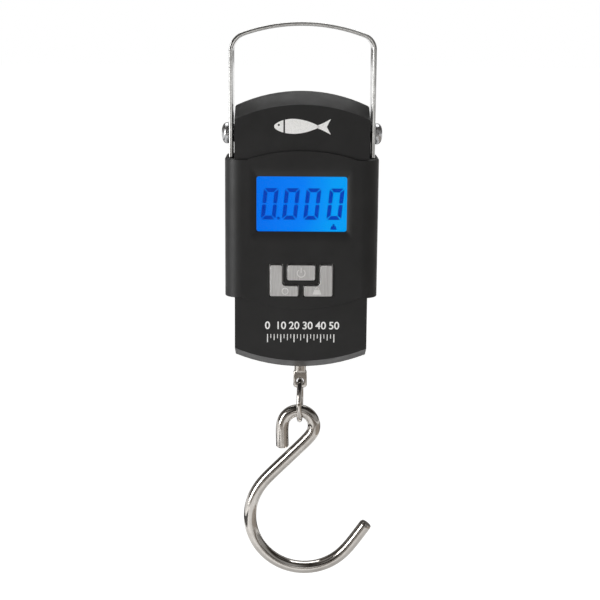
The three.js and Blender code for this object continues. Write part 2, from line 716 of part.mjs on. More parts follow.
function yokeBolt() {
  const seat = SCREW_Z + YOKE_HALF + GAP;
  return join(
    bar("z", BOLT_RADIUS, [CELL_TOP - CELL_TAPPED + CUT, seat + ROOT], [0, 0]),
    hexagon(NUT_RADIUS, seat, seat + BOLT_HEAD_HEIGHT),
  );
}

// The load cell: an aluminium block cut to an S, with a waisted window where the gauges sit.
function loadCell() {
  const depth = [-CELL_HALF_DEPTH, CELL_HALF_DEPTH];
  const through = [-CELL_HALF_DEPTH - CUT, CELL_HALF_DEPTH + CUT];
  const block = box([-CELL_HALF_WIDTH, CELL_HALF_WIDTH], depth, [CELL_BOTTOM, CELL_TOP]);
  const edge = CELL_HALF_WIDTH + CUT;
  const { reach, upper, lower } = CELL_CUTS;
  const { radius, top, bottom, slotHalf } = CELL_WINDOW;
  return cut(
    block,
    bar("z", BOLT_RADIUS + GAP, [CELL_TOP - CELL_TAPPED, CELL_TOP + CUT], [0, 0]),
    bar("z", BOLT_RADIUS + GAP, [CELL_BOTTOM - CUT, CELL_BOTTOM + CELL_TAPPED], [0, 0]),
    box([-edge, reach], through, upper),
    box([-reach, edge], through, lower),
    bar("y", radius, through, [0, top]),
    bar("y", radius, through, [0, bottom]),
    box([-slotHalf, slotHalf], through, [bottom, top]),
  );
}

function strainGauge(side) {
  const inner = CELL_HALF_WIDTH + 0.1;
  const outer = inner + GAUGE.thickness;
  const depth = [-GAUGE.halfDepth, GAUGE.halfDepth];
  return box(side > 0 ? [inner, outer] : [-outer, -inner], depth, GAUGE.z);
}

// The hanger: a rod screwed into the load cell, flattened below into an eye for the ring.
function hanger() {
  const eyeEnd = HANGER_HOLE_Z;
  const depth = [-HANGER_HALF_DEPTH, HANGER_HALF_DEPTH];
  const tongue = join(
    box([-HANGER_HALF_WIDTH, HANGER_HALF_WIDTH], depth, [eyeEnd, HANGER_TONGUE_TOP]),
    bar("y", HANGER_HALF_WIDTH, depth, [0, eyeEnd], 24),
  );
  const rodEnd = CELL_BOTTOM + CELL_TAPPED - 2 * CUT;
  const rod = bar("z", HANGER_ROD_RADIUS, [HANGER_TONGUE_TOP - CUT, rodEnd], [0, 0]);
  const through = [-HANGER_HALF_DEPTH - CUT, HANGER_HALF_DEPTH + CUT];
  return cut(join(tongue, rod), bar("y", HANGER_HOLE_RADIUS, through, [0, eyeEnd]));
}

function lockNut() {
  const top = CELL_BOTTOM - GAP;
  const bottom = top - NUT_HEIGHT;
  const thread = bar("z", HANGER_ROD_RADIUS + GAP, [bottom - CUT, top + CUT], [0, 0]);
  return cut(hexagon(NUT_RADIUS, bottom, top), thread);
}

function hangerRing() {
  const ring = new THREE.TorusGeometry(RING_RADIUS, RING_WIRE, 8, 28);
  ring.rotateY(Math.PI / 2).rotateZ(degrees(RING_TURN));
  return solid(ring.translate(0, 0, HANGER_HOLE_Z - RING_RADIUS));
}

// The hook: eye leg, eye, sloping shank, bowl and tip, all in the middle plane.
function hook() {
  const pivotZ = HANGER_HOLE_Z - 2 * RING_RADIUS + RING_WIRE + HOOK_WIRE + 0.25;
  const eyeZ = pivotZ - HOOK_EYE_RADIUS;
  const slope = degrees(HOOK_SLOPE);
  const along = new THREE.Vector2(-Math.cos(slope), -Math.sin(slope));
  const outward = new THREE.Vector2(Math.sin(slope), -Math.cos(slope));
  const eye = arc(HOOK_EYE_X, eyeZ, HOOK_EYE_RADIUS, 180, HOOK_SLOPE - 90, 18);
  const shankEnd = eye.at(-1).clone().addScaledVector(along, HOOK_SHANK);
  const shank = [0.25, 0.5, 0.75].map((t) =>
    eye.at(-1).clone().addScaledVector(along, HOOK_SHANK * t),
  );
  const bowlCentre = shankEnd.clone().addScaledVector(outward, HOOK_BOWL_RADIUS);
  const start = 90 + HOOK_SLOPE;
  const end = 360 + HOOK_BOWL_END;
  const bowl = arc(bowlCentre.x, bowlCentre.y, HOOK_BOWL_RADIUS, start, end, 26);
  const tipWay = new THREE.Vector2(-Math.sin(degrees(end)), Math.cos(degrees(end)));
  const tip = [0.5, 1].map((t) => bowl.at(-1).clone().addScaledVector(tipWay, HOOK_TIP * t));
  const legEnd = new THREE.Vector2(eye[0].x + 0.3, eyeZ - HOOK_EYE_LEG);
  const legMiddle = legEnd.clone().lerp(eye[0], 0.5);
  const line = [legEnd, legMiddle, ...eye, ...shank, ...bowl, ...tip];
  const points = line.map((p) => new THREE.Vector3(p.x, 0, p.y));
  return solid(wire(points, HOOK_WIRE, 12, 70));
}

// ---------------------------------------------------------------- power

// An AAA cell standing on its flat end, its nub towards the given end of the bay.
function battery(nubUp) {
  const profile = [
    [0, 0],
    [BATTERY_RADIUS - 0.4, 0],
    [BATTERY_RADIUS, 0.4],
    [BATTERY_RADIUS, BATTERY_LENGTH - 1.4],
    [BATTERY_RADIUS - 0.4, BATTERY_LENGTH - 1],
    [BATTERY_NUB_RADIUS, BATTERY_LENGTH - 1],
    [BATTERY_NUB_RADIUS, BATTERY_LENGTH],
    [0, BATTERY_LENGTH],
  ].map(([r, h]) => new THREE.Vector2(r, h));
  const cell = new THREE.LatheGeometry(profile, 20).rotateX(Math.PI / 2);
  if (nubUp) {
    return solid(cell.translate(-BATTERY_X, BATTERY_Y, BAY.top - BAY_END_GAP - BATTERY_LENGTH));
  }
  const base = BAY.bottom + BAY_END_GAP + BATTERY_LENGTH;
  return solid(cell.rotateX(Math.PI).translate(BATTERY_X, BATTERY_Y, base));
}

// A conical spring with its narrow end towards the cell.
function batterySpring(x, wallZ, way) {
  const steps = 36;
  const start = SPRING.wire + GAP + 0.1;
  const rise = SPRING.length - start - SPRING.wire - 0.1;
  const points = Array.from({ length: steps + 1 }, (_, i) => {
    const t = i / steps;
    const angle = 2 * Math.PI * SPRING.turns * t;
    const radius = SPRING.wide + (SPRING.narrow - SPRING.wide) * t;
    return new THREE.Vector3(
      x + radius * Math.cos(angle),
      BATTERY_Y + radius * Math.sin(angle),
      wallZ + way * (start + rise * t),
    );
  });
  return solid(wire(points, SPRING.wire, 6, 40));
}

// A contact plate at the end of a bay. The upper ones have a tab through the bay's wall.
function batteryContact(x, wallZ, way) {
  const { half, near, far, tabHalf, tabDepth, tabReach } = CONTACT;
  const levels = (a, b) => [wallZ + way * a, wallZ + way * b].sort((p, q) => p - q);
  const face = box([x - half, x + half], [BATTERY_Y - half, BATTERY_Y + half], levels(near, far));
  if (way > 0) {
    return face;
  }
  return join(face, box([x - tabHalf, x + tabHalf], tabDepth, levels(far, -tabReach)));
}

function lead(points, radius) {
  return solid(wire(points.map(([x, y, z]) => new THREE.Vector3(x, y, z)), radius, 6, 10));
}

// A lead from the end of a battery bay, over its wall, to the top of the board.
function batteryLead(side) {
  const route = [
    [15.2, 8.2, -51.6],
    [16, 5, -50],
    [17, 0, -50.2],
    [17, -3.6, -51.6],
    [17, -4.7, -55.5],
  ];
  return lead(route.map(([x, y, z]) => [side * x, y, z]), 0.6);
}

function gaugeCable() {
  return lead([[7.6, -2, -73], [8, -2.4, -78], [8.8, -3.6, -83], [9.5, -4.6, -88]], 0.7);
}

// ---------------------------------------------------------------- the assembly

function node(name, shape, material) {
  const { vertProperties, triVerts } = shape.getMesh();
  const geometry = new THREE.BufferGeometry();
  geometry.setAttribute("position", new THREE.BufferAttribute(new Float32Array(vertProperties), 3));
  geometry.setIndex(new THREE.BufferAttribute(new Uint32Array(triVerts), 1));
  geometry.computeVertexNormals();
  const mesh = new THREE.Mesh(geometry, material);
  mesh.name = name;
  return mesh;
}

function caseScrew({ name, x, z }) {
  const { shank, head, seat, headHeight, end } = CASE_SCREW;
  const screw = panScrew(shank, seat - end, head, headHeight, 14);
  return node(name, screw.rotate([-90, 0, 0]).translate([x, seat, z]), ZINC_STEEL);
}

function boardScrew({ name, x, z }) {
  const { shank, head, headHeight, end } = BOARD_SCREW;
  const seat = BOARD.back - 0.1;
  const screw = panScrew(shank, end - seat, head, headHeight, 10);
  return node(name, screw.rotate([-90, 0, 0]).translate([x, -seat, z]), ZINC_STEEL);
}

const scale = new THREE.Group();
scale.add(
  node("handle", handle(), POLISHED_STEEL),
  node("front_housing", frontHousing(), BLACK_PLASTIC),
  node("rear_housing", rearHousing(), BLACK_PLASTIC),
  node("battery_door", batteryDoor(), BLACK_PLASTIC),
  node("display_window", plate(WINDOW), CLEAR_PLASTIC),
  node("lcd_panel", plate(LCD), BLUE_DISPLAY),
  node("backlight_panel", plate(BACKLIGHT), MILKY_PLASTIC),
  node("contact_strip", plate(CONTACT_STRIP), PINK_RUBBER),
  node("circuit_board", circuitBoard(), GREEN_BOARD),
  node("chip_cover", chipCover(), EPOXY),
  node("load_cell", loadCell(), ALUMINIUM),
  node("gauge_cable", gaugeCable(), GREY_WIRE),
  node("yoke_bar", yokeBar(), ZINC_STEEL),
  node("yoke_bolt", yokeBolt(), ZINC_STEEL),
  node("hanger", hanger(), PLATED_STEEL),
  node("lock_nut", lockNut(), ZINC_STEEL),
  node("hanger_ring", hangerRing(), PLATED_STEEL),
  node("hook", hook(), PLATED_STEEL),
  node("battery_left", battery(true), CELL_JACKET),
  node("battery_right", battery(false), CELL_JACKET),
  node("battery_spring_left", batterySpring(-BATTERY_X, BAY.bottom, 1), ZINC_STEEL),
  node("battery_spring_right", batterySpring(BATTERY_X, BAY.top, -1), ZINC_STEEL),
  node("battery_contact_left", batteryContact(-BATTERY_X, BAY.top, -1), ZINC_STEEL),
  node("battery_contact_right", batteryContact(BATTERY_X, BAY.bottom, 1), ZINC_STEEL),
  node("battery_lead_red", batteryLead(-1), RED_WIRE),
  node("battery_lead_black", batteryLead(1), BLACK_WIRE),
);
for (const [word, side] of [["left", -1], ["right", 1]]) {
  scale.add(
    node(`side_screw_${word}`, sideScrew(side), POLISHED_STEEL),
    node(`side_washer_${word}`, sideWasher(side), NYLON),
    node(`strain_gauge_${word}`, strainGauge(side), AMBER_FILM),
  );
}
for (const button of BUTTONS) {
  scale.add(
    node(`${button.name}_button`, buttonCap(button), BRUSHED_SILVER),
    node(`${button.name}_switch`, switchBody(button), EPOXY),
    node(`${button.name}_plunger`, switchPlunger(button), MILKY_PLASTIC),
  );
}
scale.add(...CASE_SCREWS.map(caseScrew), ...BOARD_SCREWS.map(boardScrew));

export default scale;
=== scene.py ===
"""Looks of a hanging digital scale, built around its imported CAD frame.

Metres, +Z up, the display faces -Y. Lengths below are in millimetres until mesh_object().
"""

import math

import bmesh
import bpy
from mathutils import Euler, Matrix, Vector


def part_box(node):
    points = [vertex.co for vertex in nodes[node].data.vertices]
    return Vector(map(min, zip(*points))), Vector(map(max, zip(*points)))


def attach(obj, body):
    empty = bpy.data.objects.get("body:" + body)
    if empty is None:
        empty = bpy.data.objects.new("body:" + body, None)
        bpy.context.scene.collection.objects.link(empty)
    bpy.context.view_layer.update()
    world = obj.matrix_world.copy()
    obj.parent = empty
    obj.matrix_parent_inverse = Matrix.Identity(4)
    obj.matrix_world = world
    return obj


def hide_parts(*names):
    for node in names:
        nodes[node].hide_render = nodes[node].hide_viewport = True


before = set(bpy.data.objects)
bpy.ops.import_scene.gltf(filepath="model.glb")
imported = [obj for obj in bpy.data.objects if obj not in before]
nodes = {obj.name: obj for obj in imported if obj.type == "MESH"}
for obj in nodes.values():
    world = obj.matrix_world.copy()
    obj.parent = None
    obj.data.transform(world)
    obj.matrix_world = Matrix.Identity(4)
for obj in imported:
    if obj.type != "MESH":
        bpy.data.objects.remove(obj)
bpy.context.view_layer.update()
scene = bpy.context.scene

MM = 0.001

# ---------------------------------------------------------------- driving dimensions

# Strap handle.
STRAP_HALF_WIDTH = 28.6
STRAP_THICKNESS = 1.5
STRAP_HALF_DEPTH = 7.5
STRAP_EDGE = 0.38
ARCH_RADIUS = 69.0
BEND_LEFT = 8.0
BEND_RIGHT = 6.4
LEG_END = -78.0
SLOT_HALF_WIDTH = 2.3
SLOT_TOP = -33.3
SLOT_BOTTOM = -66.0
SLOT_EDGE = 0.2

# Side screws.
SCREW_Z = -41.8
SCREW_SHANK = 2.0
SCREW_SIDES = 48
SHANK_CHAMFER = 0.3
HEAD_RADIUS = 4.15
HEAD_BASE = 28.85
HEAD_TOP = 31.8
HEAD_RIM = 0.9
HEAD_CHAMFER = 0.25

# Hanger, ring and hook.
HANGER_HALF_WIDTH = 2.75
HANGER_HALF_DEPTH = 1.5
HANGER_CORNER = 0.5
HANGER_SHOULDER = 4.2
HANGER_HOLE_Z = -143.1
HANGER_HOLE_RADIUS = 1.6
HANGER_HOLE_FLARE = 0.7
HANGER_ROD_RADIUS = 2.4
RING_RADIUS = 8.2
RING_WIRE = 1.03
RING_Z = -151.3
RING_TURN = -3.0
HOOK_WIRE = 2.6
HOOK_EYE_RADIUS = 6.8
HOOK_EYE = (-0.6, -162.42)
HOOK_EYE_LEG = 9.1
HOOK_BOWL_RADIUS = 23.1
HOOK_BOWL = (2.30, -201.8)
HOOK_SLOPE = 45
HOOK_BOWL_END = 325
HOOK_TIP = 12.4
HOOK_CHAMFER = 0.4

# Faces that carry printing, as distances ahead of the middle plane.
BODY_FACE = 13.2
BUTTON_FACE = 14.8
LCD_FACE = 10.3
PRINT_THICKNESS = 0.03
INK_LIFT = 0.02
INK_THICKNESS = 0.04
SYMBOL_SINK = 0.02
SYMBOL_THICKNESS = 0.17

# Display: slanted digits, a point and a small weight. Places are (x, z).
DIGIT_WIDTH = 7.1
DIGIT_TOP = -62.4
DIGIT_BOTTOM = -74.8
DIGIT_LEFTS = (-16.1, -7.75, 0.6, 9.7)
DIGIT_SLANT = 0.105
SEGMENT_WIDTH = 1.55
SEGMENT_GAP = 0.17
SEGMENT_NOSE = 0.5
POINT_PLACE = (-9.1, -74.25)
POINT_RADIUS = 0.6
WEIGHT_PLACE = (12.6, -77.7)
WEIGHT_KNOB_Z = -76.85
WEIGHT_KNOB_RADIUS = 0.42

# Printing: the fish mark, and graduation marks of (length, half-width) with numbers.
FISH_PLACE = (0.0, -38.2)
FISH_LENGTH = 22.0
FISH_HEIGHT = 6.0
FISH_EYE_PLACE = (-9.1, -37.6)
FISH_EYE_RADIUS = 0.42
SCALE_HALF = 13.2
SCALE_TICKS_TOP = -120.4
LONG_TICK = (3.3, 0.2)
MIDDLE_TICK = (2.5, 0.16)
SHORT_TICK = (1.7, 0.14)
NUMBERS_Z = -117.0
NUMBER_SIZE = 4.3
NUMBER_THICKENING = 0.06

# Key symbols.
POWER_PLACE = (0.0, -95.4)
TARE_PLACE = (-6.3, -102.65)
UNIT_PLACE = (6.3, -101.75)
SYMBOL_LINE = 0.42

# Edges of the carried-over CAD nodes.
WELD_DISTANCE = 0.004
FLAT_ANGLE = 0.6
EDGE_ANGLE = 28
SHELL_EDGE = 0.3
KEY_EDGE = 0.28
SMALL_EDGE = 0.06

# Studio. The camera's place is in metres.
FLOOR_Z = -430.0
FLOOR_RADIUS = 14000
CAMERA_PLACE = (-0.0038, -0.520, 0.0)
CAMERA_PITCH = 11.08
CAMERA_YAW = 0.38
CAMERA_ROLL = 0.45
CAMERA_LENS = 78.5
CAMERA_SHIFT = -0.03

# ---------------------------------------------------------------- meshes


def mesh_object(name, points, faces, smooth=True):
    """A new mesh piece from points in millimetres."""
    mesh = bpy.data.meshes.new(name)
    mesh.from_pydata([Vector(p) * MM for p in points], [], faces)
    mesh.validate()
    obj = bpy.data.objects.new(name, mesh)
    scene.collection.objects.link(obj)
    fix_normals(mesh)
    mesh.shade_smooth() if smooth else mesh.shade_flat()
    return obj


def fix_normals(mesh):
    work = bmesh.new()
    work.from_mesh(mesh)
    bmesh.ops.recalc_face_normals(work, faces=work.faces)
    work.to_mesh(mesh)
    work.free()


def skin(rings, closed=False):
    """Points and faces of a tube through rings of matching points, with flat ends unless closed."""
    count = len(rings[0])
    points = [p for ring in rings for p in ring]
    faces = []
    spans = len(rings) if closed else len(rings) - 1
    for i in range(spans):
        here, there = i * count, ((i + 1) % len(rings)) * count
        for j in range(count):
            k = (j + 1) % count
            faces.append((here + j, here + k, there + k, there + j))
    if not closed:
        faces.append(tuple(range(count)))
        last = (len(rings) - 1) * count
        faces.append(tuple(last + j for j in range(count)))
    return points, faces


def swept(name, path, section, closed=False):
    """A section of (outward, depth) pairs carried along a path of (x, z, outward x, outward z)."""
    rings = [[(x + u * nx, v, z + u * nz) for u, v in section] for x, z, nx, nz in path]
    return mesh_object(name, *skin(rings, closed))


def circle_points(radius, count, start=0.0):
    turn = 2 * math.pi / count
    return [
        (radius * math.cos(start + i * turn), radius * math.sin(start + i * turn))
        for i in range(count)
    ]


def rounded_rectangle(half_u, half_v, corner, steps=4):
    points = []
    for su, sv, start in ((1, 1, 0), (-1, 1, 90), (-1, -1, 180), (1, -1, 270)):
        for i in range(steps + 1):
            angle = math.radians(start + 90 * i / steps)
            points.append(
                (
                    su * (half_u - corner) + corner * math.cos(angle),
                    sv * (half_v - corner) + corner * math.sin(angle),
                )
            )
    return points


def arc_path(x, z, radius, start, end, step, outward=1):
    """Path points along an arc in the front plane, from one angle to another, in degrees."""
    count = max(2, round(abs(end - start) / step))
    points = []
    for i in range(count + 1):
        angle = math.radians(start + (end - start) * i / count)
        nx, nz = math.cos(angle), math.sin(angle)
        points.append((x + radius * nx, z + radius * nz, outward * nx, outward * nz))
    return points


def lathed(name, profile, sign):
    """A profile of (x, radius) turned round the side screws' axis."""
    rings = [
        [(sign * x, radius * c, SCREW_Z + radius * s) for c, s in circle_points(1.0, SCREW_SIDES)]
        for x, radius in profile
    ]
    return mesh_object(name, *skin(rings))


def bake(obj):
    """Applies the piece's modifiers to its mesh."""
    graph = bpy.context.evaluated_depsgraph_get()
    mesh = bpy.data.meshes.new_from_object(obj.evaluated_get(graph))
    obj.modifiers.clear()
    obj.data = mesh


def carve(obj, *cutters, operation="DIFFERENCE"):
    """Cuts the pieces away, or joins them on, and removes them."""
    for cutter in cutters:
        boolean = obj.modifiers.new("cut", "BOOLEAN")
        boolean.operation = operation
        boolean.solver = "EXACT"
        boolean.object = cutter
        bake(obj)
        bpy.data.objects.remove(cutter)
    return obj


def soften(obj, width, angle):
    """Rounds the edges sharper than the angle, and shades the faces to suit."""
    bevel = obj.modifiers.new("edges", "BEVEL")
    bevel.width = width * MM
    bevel.segments = 3
    bevel.limit_method = "ANGLE"
    bevel.angle_limit = math.radians(angle)
    bevel.use_clamp_overlap = True
    bevel.harden_normals = True


def shade_by_angle(mesh, angle):
    mesh.shade_smooth()
    mesh.set_sharp_from_angle(angle=math.radians(angle))


# ---------------------------------------------------------------- materials


class Paint:
    """A material's node tree, with short calls for the textures that its sockets take."""

    def __init__(self, name):
        self.material = bpy.data.materials.new(name)
        self.material.use_nodes = True
        self.tree = self.material.node_tree
        self.shader = self.tree.nodes["Principled BSDF"]
        self.place = self.new("ShaderNodeTexCoord").outputs["Object"]

    def new(self, kind, **settings):
        node = self.tree.nodes.new(kind)
        for key, value in settings.items():
            setattr(node, key, value)
        return node

    def link(self, source, target):
        self.tree.links.new(source, target)

    def stretched(self, scale):
        mapping = self.new("ShaderNodeMapping")
        mapping.inputs["Scale"].default_value = scale
        self.link(self.place, mapping.inputs["Vector"])
        return mapping.outputs["Vector"]

    def noise(self, scale, detail=3.0, stretch=None, roughness=0.5):
        """Noise whose grain is 1/scale metres."""
        node = self.new("ShaderNodeTexNoise")
        node.inputs["Scale"].default_value = scale
        node.inputs["Detail"].default_value = detail
        node.inputs["Roughness"].default_value = roughness
        self.link(self.stretched(stretch) if stretch else self.place, node.inputs["Vector"])
        return node.outputs["Fac"]

    def spread(self, value, low, high, source_low=0.3, source_high=0.7):
        node = self.new("ShaderNodeMapRange")
        self.link(value, node.inputs["Value"])
        for key, number in zip(
            ("From Min", "From Max", "To Min", "To Max"), (source_low, source_high, low, high)
        ):
            node.inputs[key].default_value = number
        return node.outputs["Result"]

    def colours(self, value, *stops):
        """A ramp of (position, colour) stops driven by a value."""
        node = self.new("ShaderNodeValToRGB")
        elements = node.color_ramp.elements
        while len(elements) < len(stops):
            elements.new(0.5)
        for element, (position, colour) in zip(elements, stops):
            element.position = position
            element.color = (*colour, 1)
        self.link(value, node.inputs["Fac"])
        return node.outputs["Color"]

    def set(self, **sockets):
        """Sockets by name, with _ for a space: a number or colour is set, an output is linked."""
        for key, value in sockets.items():
            socket = self.shader.inputs[key.replace("_", " ")]
            if isinstance(value, bpy.types.NodeSocket):
                self.link(value, socket)
            else:
                socket.default_value = (*value, 1) if isinstance(value, tuple) else value

    def relief(self, *layers):
        """Bumps from (height, depth in mm) layers, the first one deepest in the chain."""
        normal = None
        for height, depth in layers:
            bump = self.new("ShaderNodeBump")
            bump.inputs["Distance"].default_value = depth * MM
            bump.inputs["Strength"].default_value = 1.0
            self.link(height, bump.inputs["Height"])
            if normal:
                self.link(normal, bump.inputs["Normal"])
            normal = bump.outputs["Normal"]
        self.link(normal, self.shader.inputs["Normal"])


def black_plastic():
    """Spark-eroded ABS: near black, satin, with a very fine grain and faint handling marks."""
    paint = Paint("moulded_black_plastic")
    mottle = paint.noise(70, 4)
    grain = paint.noise(5200, 2)
    dark, light = (0.0125, 0.0125, 0.0126), (0.0175, 0.0175, 0.0177)
    paint.set(
        Base_Color=paint.colours(mottle, (0.3, dark), (0.7, light)),
        Roughness=paint.spread(paint.noise(160, 5), 0.40, 0.50),
        Specular_IOR_Level=0.32,
    )
    paint.relief((paint.noise(420, 3), 0.010), (grain, 0.016))
    return paint.material


def polished_steel():
    """Stainless strip: bright, with fine lines along the strip and soft waviness."""
    paint = Paint("polished_steel")
    lines = paint.noise(1, 4, stretch=(120, 5200, 120))
    paint.set(
        Metallic=1.0,
        Base_Color=paint.colours(lines, (0.3, (0.43, 0.43, 0.42)), (0.7, (0.55, 0.55, 0.54))),
        Roughness=paint.spread(paint.noise(300, 5), 0.10, 0.2),
    )
    paint.relief((paint.noise(90, 2), 0.012), (lines, 0.0025))
    return paint.material


def plated_steel():
    """Bright nickel on drawn wire: warm, glossy, a little wavy, with fine pits."""
    paint = Paint("nickel_plate")
    cloud = paint.noise(150, 5)
    paint.set(
        Metallic=1.0,
        Base_Color=paint.colours(cloud, (0.3, (0.44, 0.415, 0.385)), (0.7, (0.58, 0.555, 0.525))),
        Roughness=paint.spread(paint.noise(420, 6), 0.07, 0.2),
    )
    paint.relief((paint.noise(220, 2), 0.018), (paint.noise(2600, 3), 0.0025))
    return paint.material


def zinc_steel():
    paint = Paint("zinc_plate")
    cloud = paint.noise(500, 5)
    paint.set(
        Metallic=1.0,
        Base_Color=paint.colours(cloud, (0.3, (0.40, 0.405, 0.415)), (0.7, (0.54, 0.545, 0.555))),
        Roughness=paint.spread(paint.noise(900, 4), 0.2, 0.36),
    )
    paint.relief((paint.noise(1500, 3), 0.006))
    return paint.material


def brushed_silver(name, dark, light):
    """Silver-faced keys with short vertical brush lines."""
    paint = Paint(name)
    lines = paint.noise(1, 5, stretch=(3600, 3600, 160), roughness=0.6)
    paint.set(
        Metallic=0.85,
        Base_Color=paint.colours(lines, (0.32, dark), (0.68, light)),
        Roughness=paint.spread(paint.noise(1, 4, stretch=(2400, 2400, 120)), 0.30, 0.44),
    )
    paint.relief((lines, 0.012))
    return paint.material


def milled_aluminium():
    paint = Paint("milled_aluminium")
    lines = paint.noise(1, 3, stretch=(220, 220, 3200))
    paint.set(
        Metallic=1.0,
        Base_Color=paint.colours(lines, (0.3, (0.62, 0.63, 0.64)), (0.7, (0.77, 0.78, 0.79))),
        Roughness=paint.spread(lines, 0.28, 0.42),
    )
    paint.relief((lines, 0.01))
    return paint.material


def clear_window():
    """Clear acrylic with the faintest haze and polish marks."""
    paint = Paint("clear_acrylic")
    paint.set(
        Base_Color=paint.colours(paint.noise(90, 3), (0.3, (0.93, 0.96, 1.0)), (0.7, (0.97, 0.99, 1.0))),
        Roughness=paint.spread(paint.noise(700, 5), 0.01, 0.05),
        Transmission_Weight=1.0,
        IOR=1.2,
    )
    return paint.material


def blue_display():
    """The lit panel: even blue, brighter towards the lamp at its right edge."""
    paint = Paint("lit_blue_panel")
    split = paint.new("ShaderNodeSeparateXYZ")
    paint.link(paint.place, split.inputs["Vector"])
    across = paint.spread(split.outputs["X"], 0.0, 1.0, -0.0184, 0.0184)
    cloud = paint.noise(110, 2)
    mix = paint.new("ShaderNodeMath", operation="MULTIPLY_ADD")
    paint.link(cloud, mix.inputs[0])
    mix.inputs[1].default_value = 0.25
    paint.link(across, mix.inputs[2])
    glow = paint.colours(
        mix.outputs["Value"],
        (0.05, (0.0, 0.165, 0.86)),
        (0.6, (0.0, 0.215, 0.93)),
        (1.0, (0.0, 0.36, 0.94)),
    )
    paint.set(
        Base_Color=(0.0, 0.01, 0.05),
        Roughness=paint.spread(paint.noise(900, 3), 0.35, 0.5),
        Specular_IOR_Level=0.04,
        Emission_Color=glow,
        Emission_Strength=0.95,
    )
    return paint.material


def lcd_ink():
    """Switched-on segments, which let only some of the blue light through."""
    paint = Paint("liquid_crystal_on")
    shade = paint.noise(300, 2)
    paint.set(
        Base_Color=(0.0, 0.005, 0.03),
        Roughness=0.5,
        Specular_IOR_Level=0.04,
        Emission_Color=paint.colours(shade, (0.3, (0.0, 0.045, 0.42)), (0.7, (0.0, 0.062, 0.52))),
        Emission_Strength=0.95,
    )
    return paint.material


def white_print():
    paint = Paint("white_print")
    speck = paint.noise(2600, 4)
    paint.set(
        Base_Color=paint.colours(speck, (0.3, (0.80, 0.80, 0.79)), (0.6, (0.93, 0.93, 0.92))),
        Roughness=paint.spread(speck, 0.5, 0.7),
    )
    paint.relief((speck, 0.006))
    return paint.material


def speckled(name, dark, light, grain, rough, bump, **sockets):
    """A plain moulded, cast or coated material: a colour range, a grain in 1/m, and a bump in mm."""
    paint = Paint(name)
    cloud = paint.noise(grain, 4)
    paint.set(
        Base_Color=paint.colours(cloud, (0.3, dark), (0.7, light)),
        Roughness=paint.spread(cloud, *rough),
        **sockets,
    )
    paint.relief((paint.noise(grain * 4, 3), bump))
    return paint.material


def slot_materials():
    """One finished material for each material slot of the record."""
    return {
        "black_plastic": black_plastic(),
        "polished_steel": polished_steel(),
        "plated_steel": plated_steel(),
        "zinc_steel": zinc_steel(),
        "brushed_silver": brushed_silver("brushed_silver", (0.58, 0.58, 0.58), (0.76, 0.76, 0.76)),
        "milled_aluminium": milled_aluminium(),
        "clear_window": clear_window(),
        "blue_display": blue_display(),
        "milky_plastic": speckled(
            "milky_light_guide", (0.72, 0.75, 0.78), (0.84, 0.86, 0.88), 300, (0.4, 0.55), 0.01,
            Subsurface_Weight=0.3, Subsurface_Scale=0.002,
        ),
        "pink_rubber": speckled(
            "layered_rubber", (0.5, 0.32, 0.3), (0.66, 0.45, 0.43), 2500, (0.6, 0.8), 0.01
        ),
        "green_board": speckled(
            "solder_mask", (0.03, 0.17, 0.075), (0.06, 0.26, 0.12), 600, (0.3, 0.5), 0.008,
            Coat_Weight=0.3,
        ),
        "black_epoxy": speckled(
            "chip_resin", (0.012, 0.012, 0.012), (0.03, 0.03, 0.03), 400, (0.2, 0.4), 0.02
        ),
        "black_nylon": speckled(
            "nylon", (0.026, 0.026, 0.029), (0.05, 0.05, 0.055), 700, (0.4, 0.55), 0.01
        ),
        "gauge_film": speckled(
            "gauge_film", (0.45, 0.22, 0.06), (0.65, 0.36, 0.13), 1200, (0.25, 0.4), 0.004
        ),
        "cell_jacket": speckled(
            "cell_jacket", (0.08, 0.17, 0.28), (0.14, 0.25, 0.38), 500, (0.25, 0.4), 0.006, Metallic=0.7
        ),
        "wire_insulation": speckled(
            "wire_insulation", (0.15, 0.15, 0.15), (0.25, 0.25, 0.25), 1500, (0.45, 0.6), 0.008
        ),
    }


materials = slot_materials()
red_wire = speckled("red_insulation", (0.40, 0.02, 0.02), (0.58, 0.05, 0.04), 1500, (0.45, 0.6), 0.008)
lcd_segment = lcd_ink()
print_white = white_print()
bright_silver = brushed_silver("bright_silver", (0.86, 0.86, 0.86), (0.96, 0.96, 0.96))


def finish_piece(obj, body, slot, material=None):
    """Gives a new piece its body, and the slot's material or another one."""
    obj.data.materials.clear()
    obj.data.materials.append(material or materials[slot])
    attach(obj, body)


# ---------------------------------------------------------------- carried-over CAD nodes


def refine_cad(obj, width):
    """Welds a flat-shaded CAD mesh, merges its coplanar faces and rounds its edges."""
    merge = obj.modifiers.new("weld", "WELD")
    merge.merge_threshold = WELD_DISTANCE * MM
    flat = obj.modifiers.new("flat", "DECIMATE")
    flat.decimate_type = "DISSOLVE"
    flat.angle_limit = math.radians(FLAT_ANGLE)
    soften(obj, width, EDGE_ANGLE)
    obj.data.shade_smooth()
    smooth = obj.modifiers.new("normals", "WEIGHTED_NORMAL")
    smooth.keep_sharp = True


def dress_cad_nodes():
    """Gives every CAD node its slot's material and rounded edges."""
    edges = {name: SHELL_EDGE for name in ("front_housing", "rear_housing", "battery_door")}
    edges.update({name: KEY_EDGE for name in ("power_button", "tare_button", "unit_button")})
    for name, obj in nodes.items():
        slot = obj.data.materials[0].name
        obj.material_slots[0].link = "OBJECT"
        obj.material_slots[0].material = red_wire if name == "battery_lead_red" else materials[slot]
        refine_cad(obj, edges.get(name, SMALL_EDGE))


# ---------------------------------------------------------------- handle


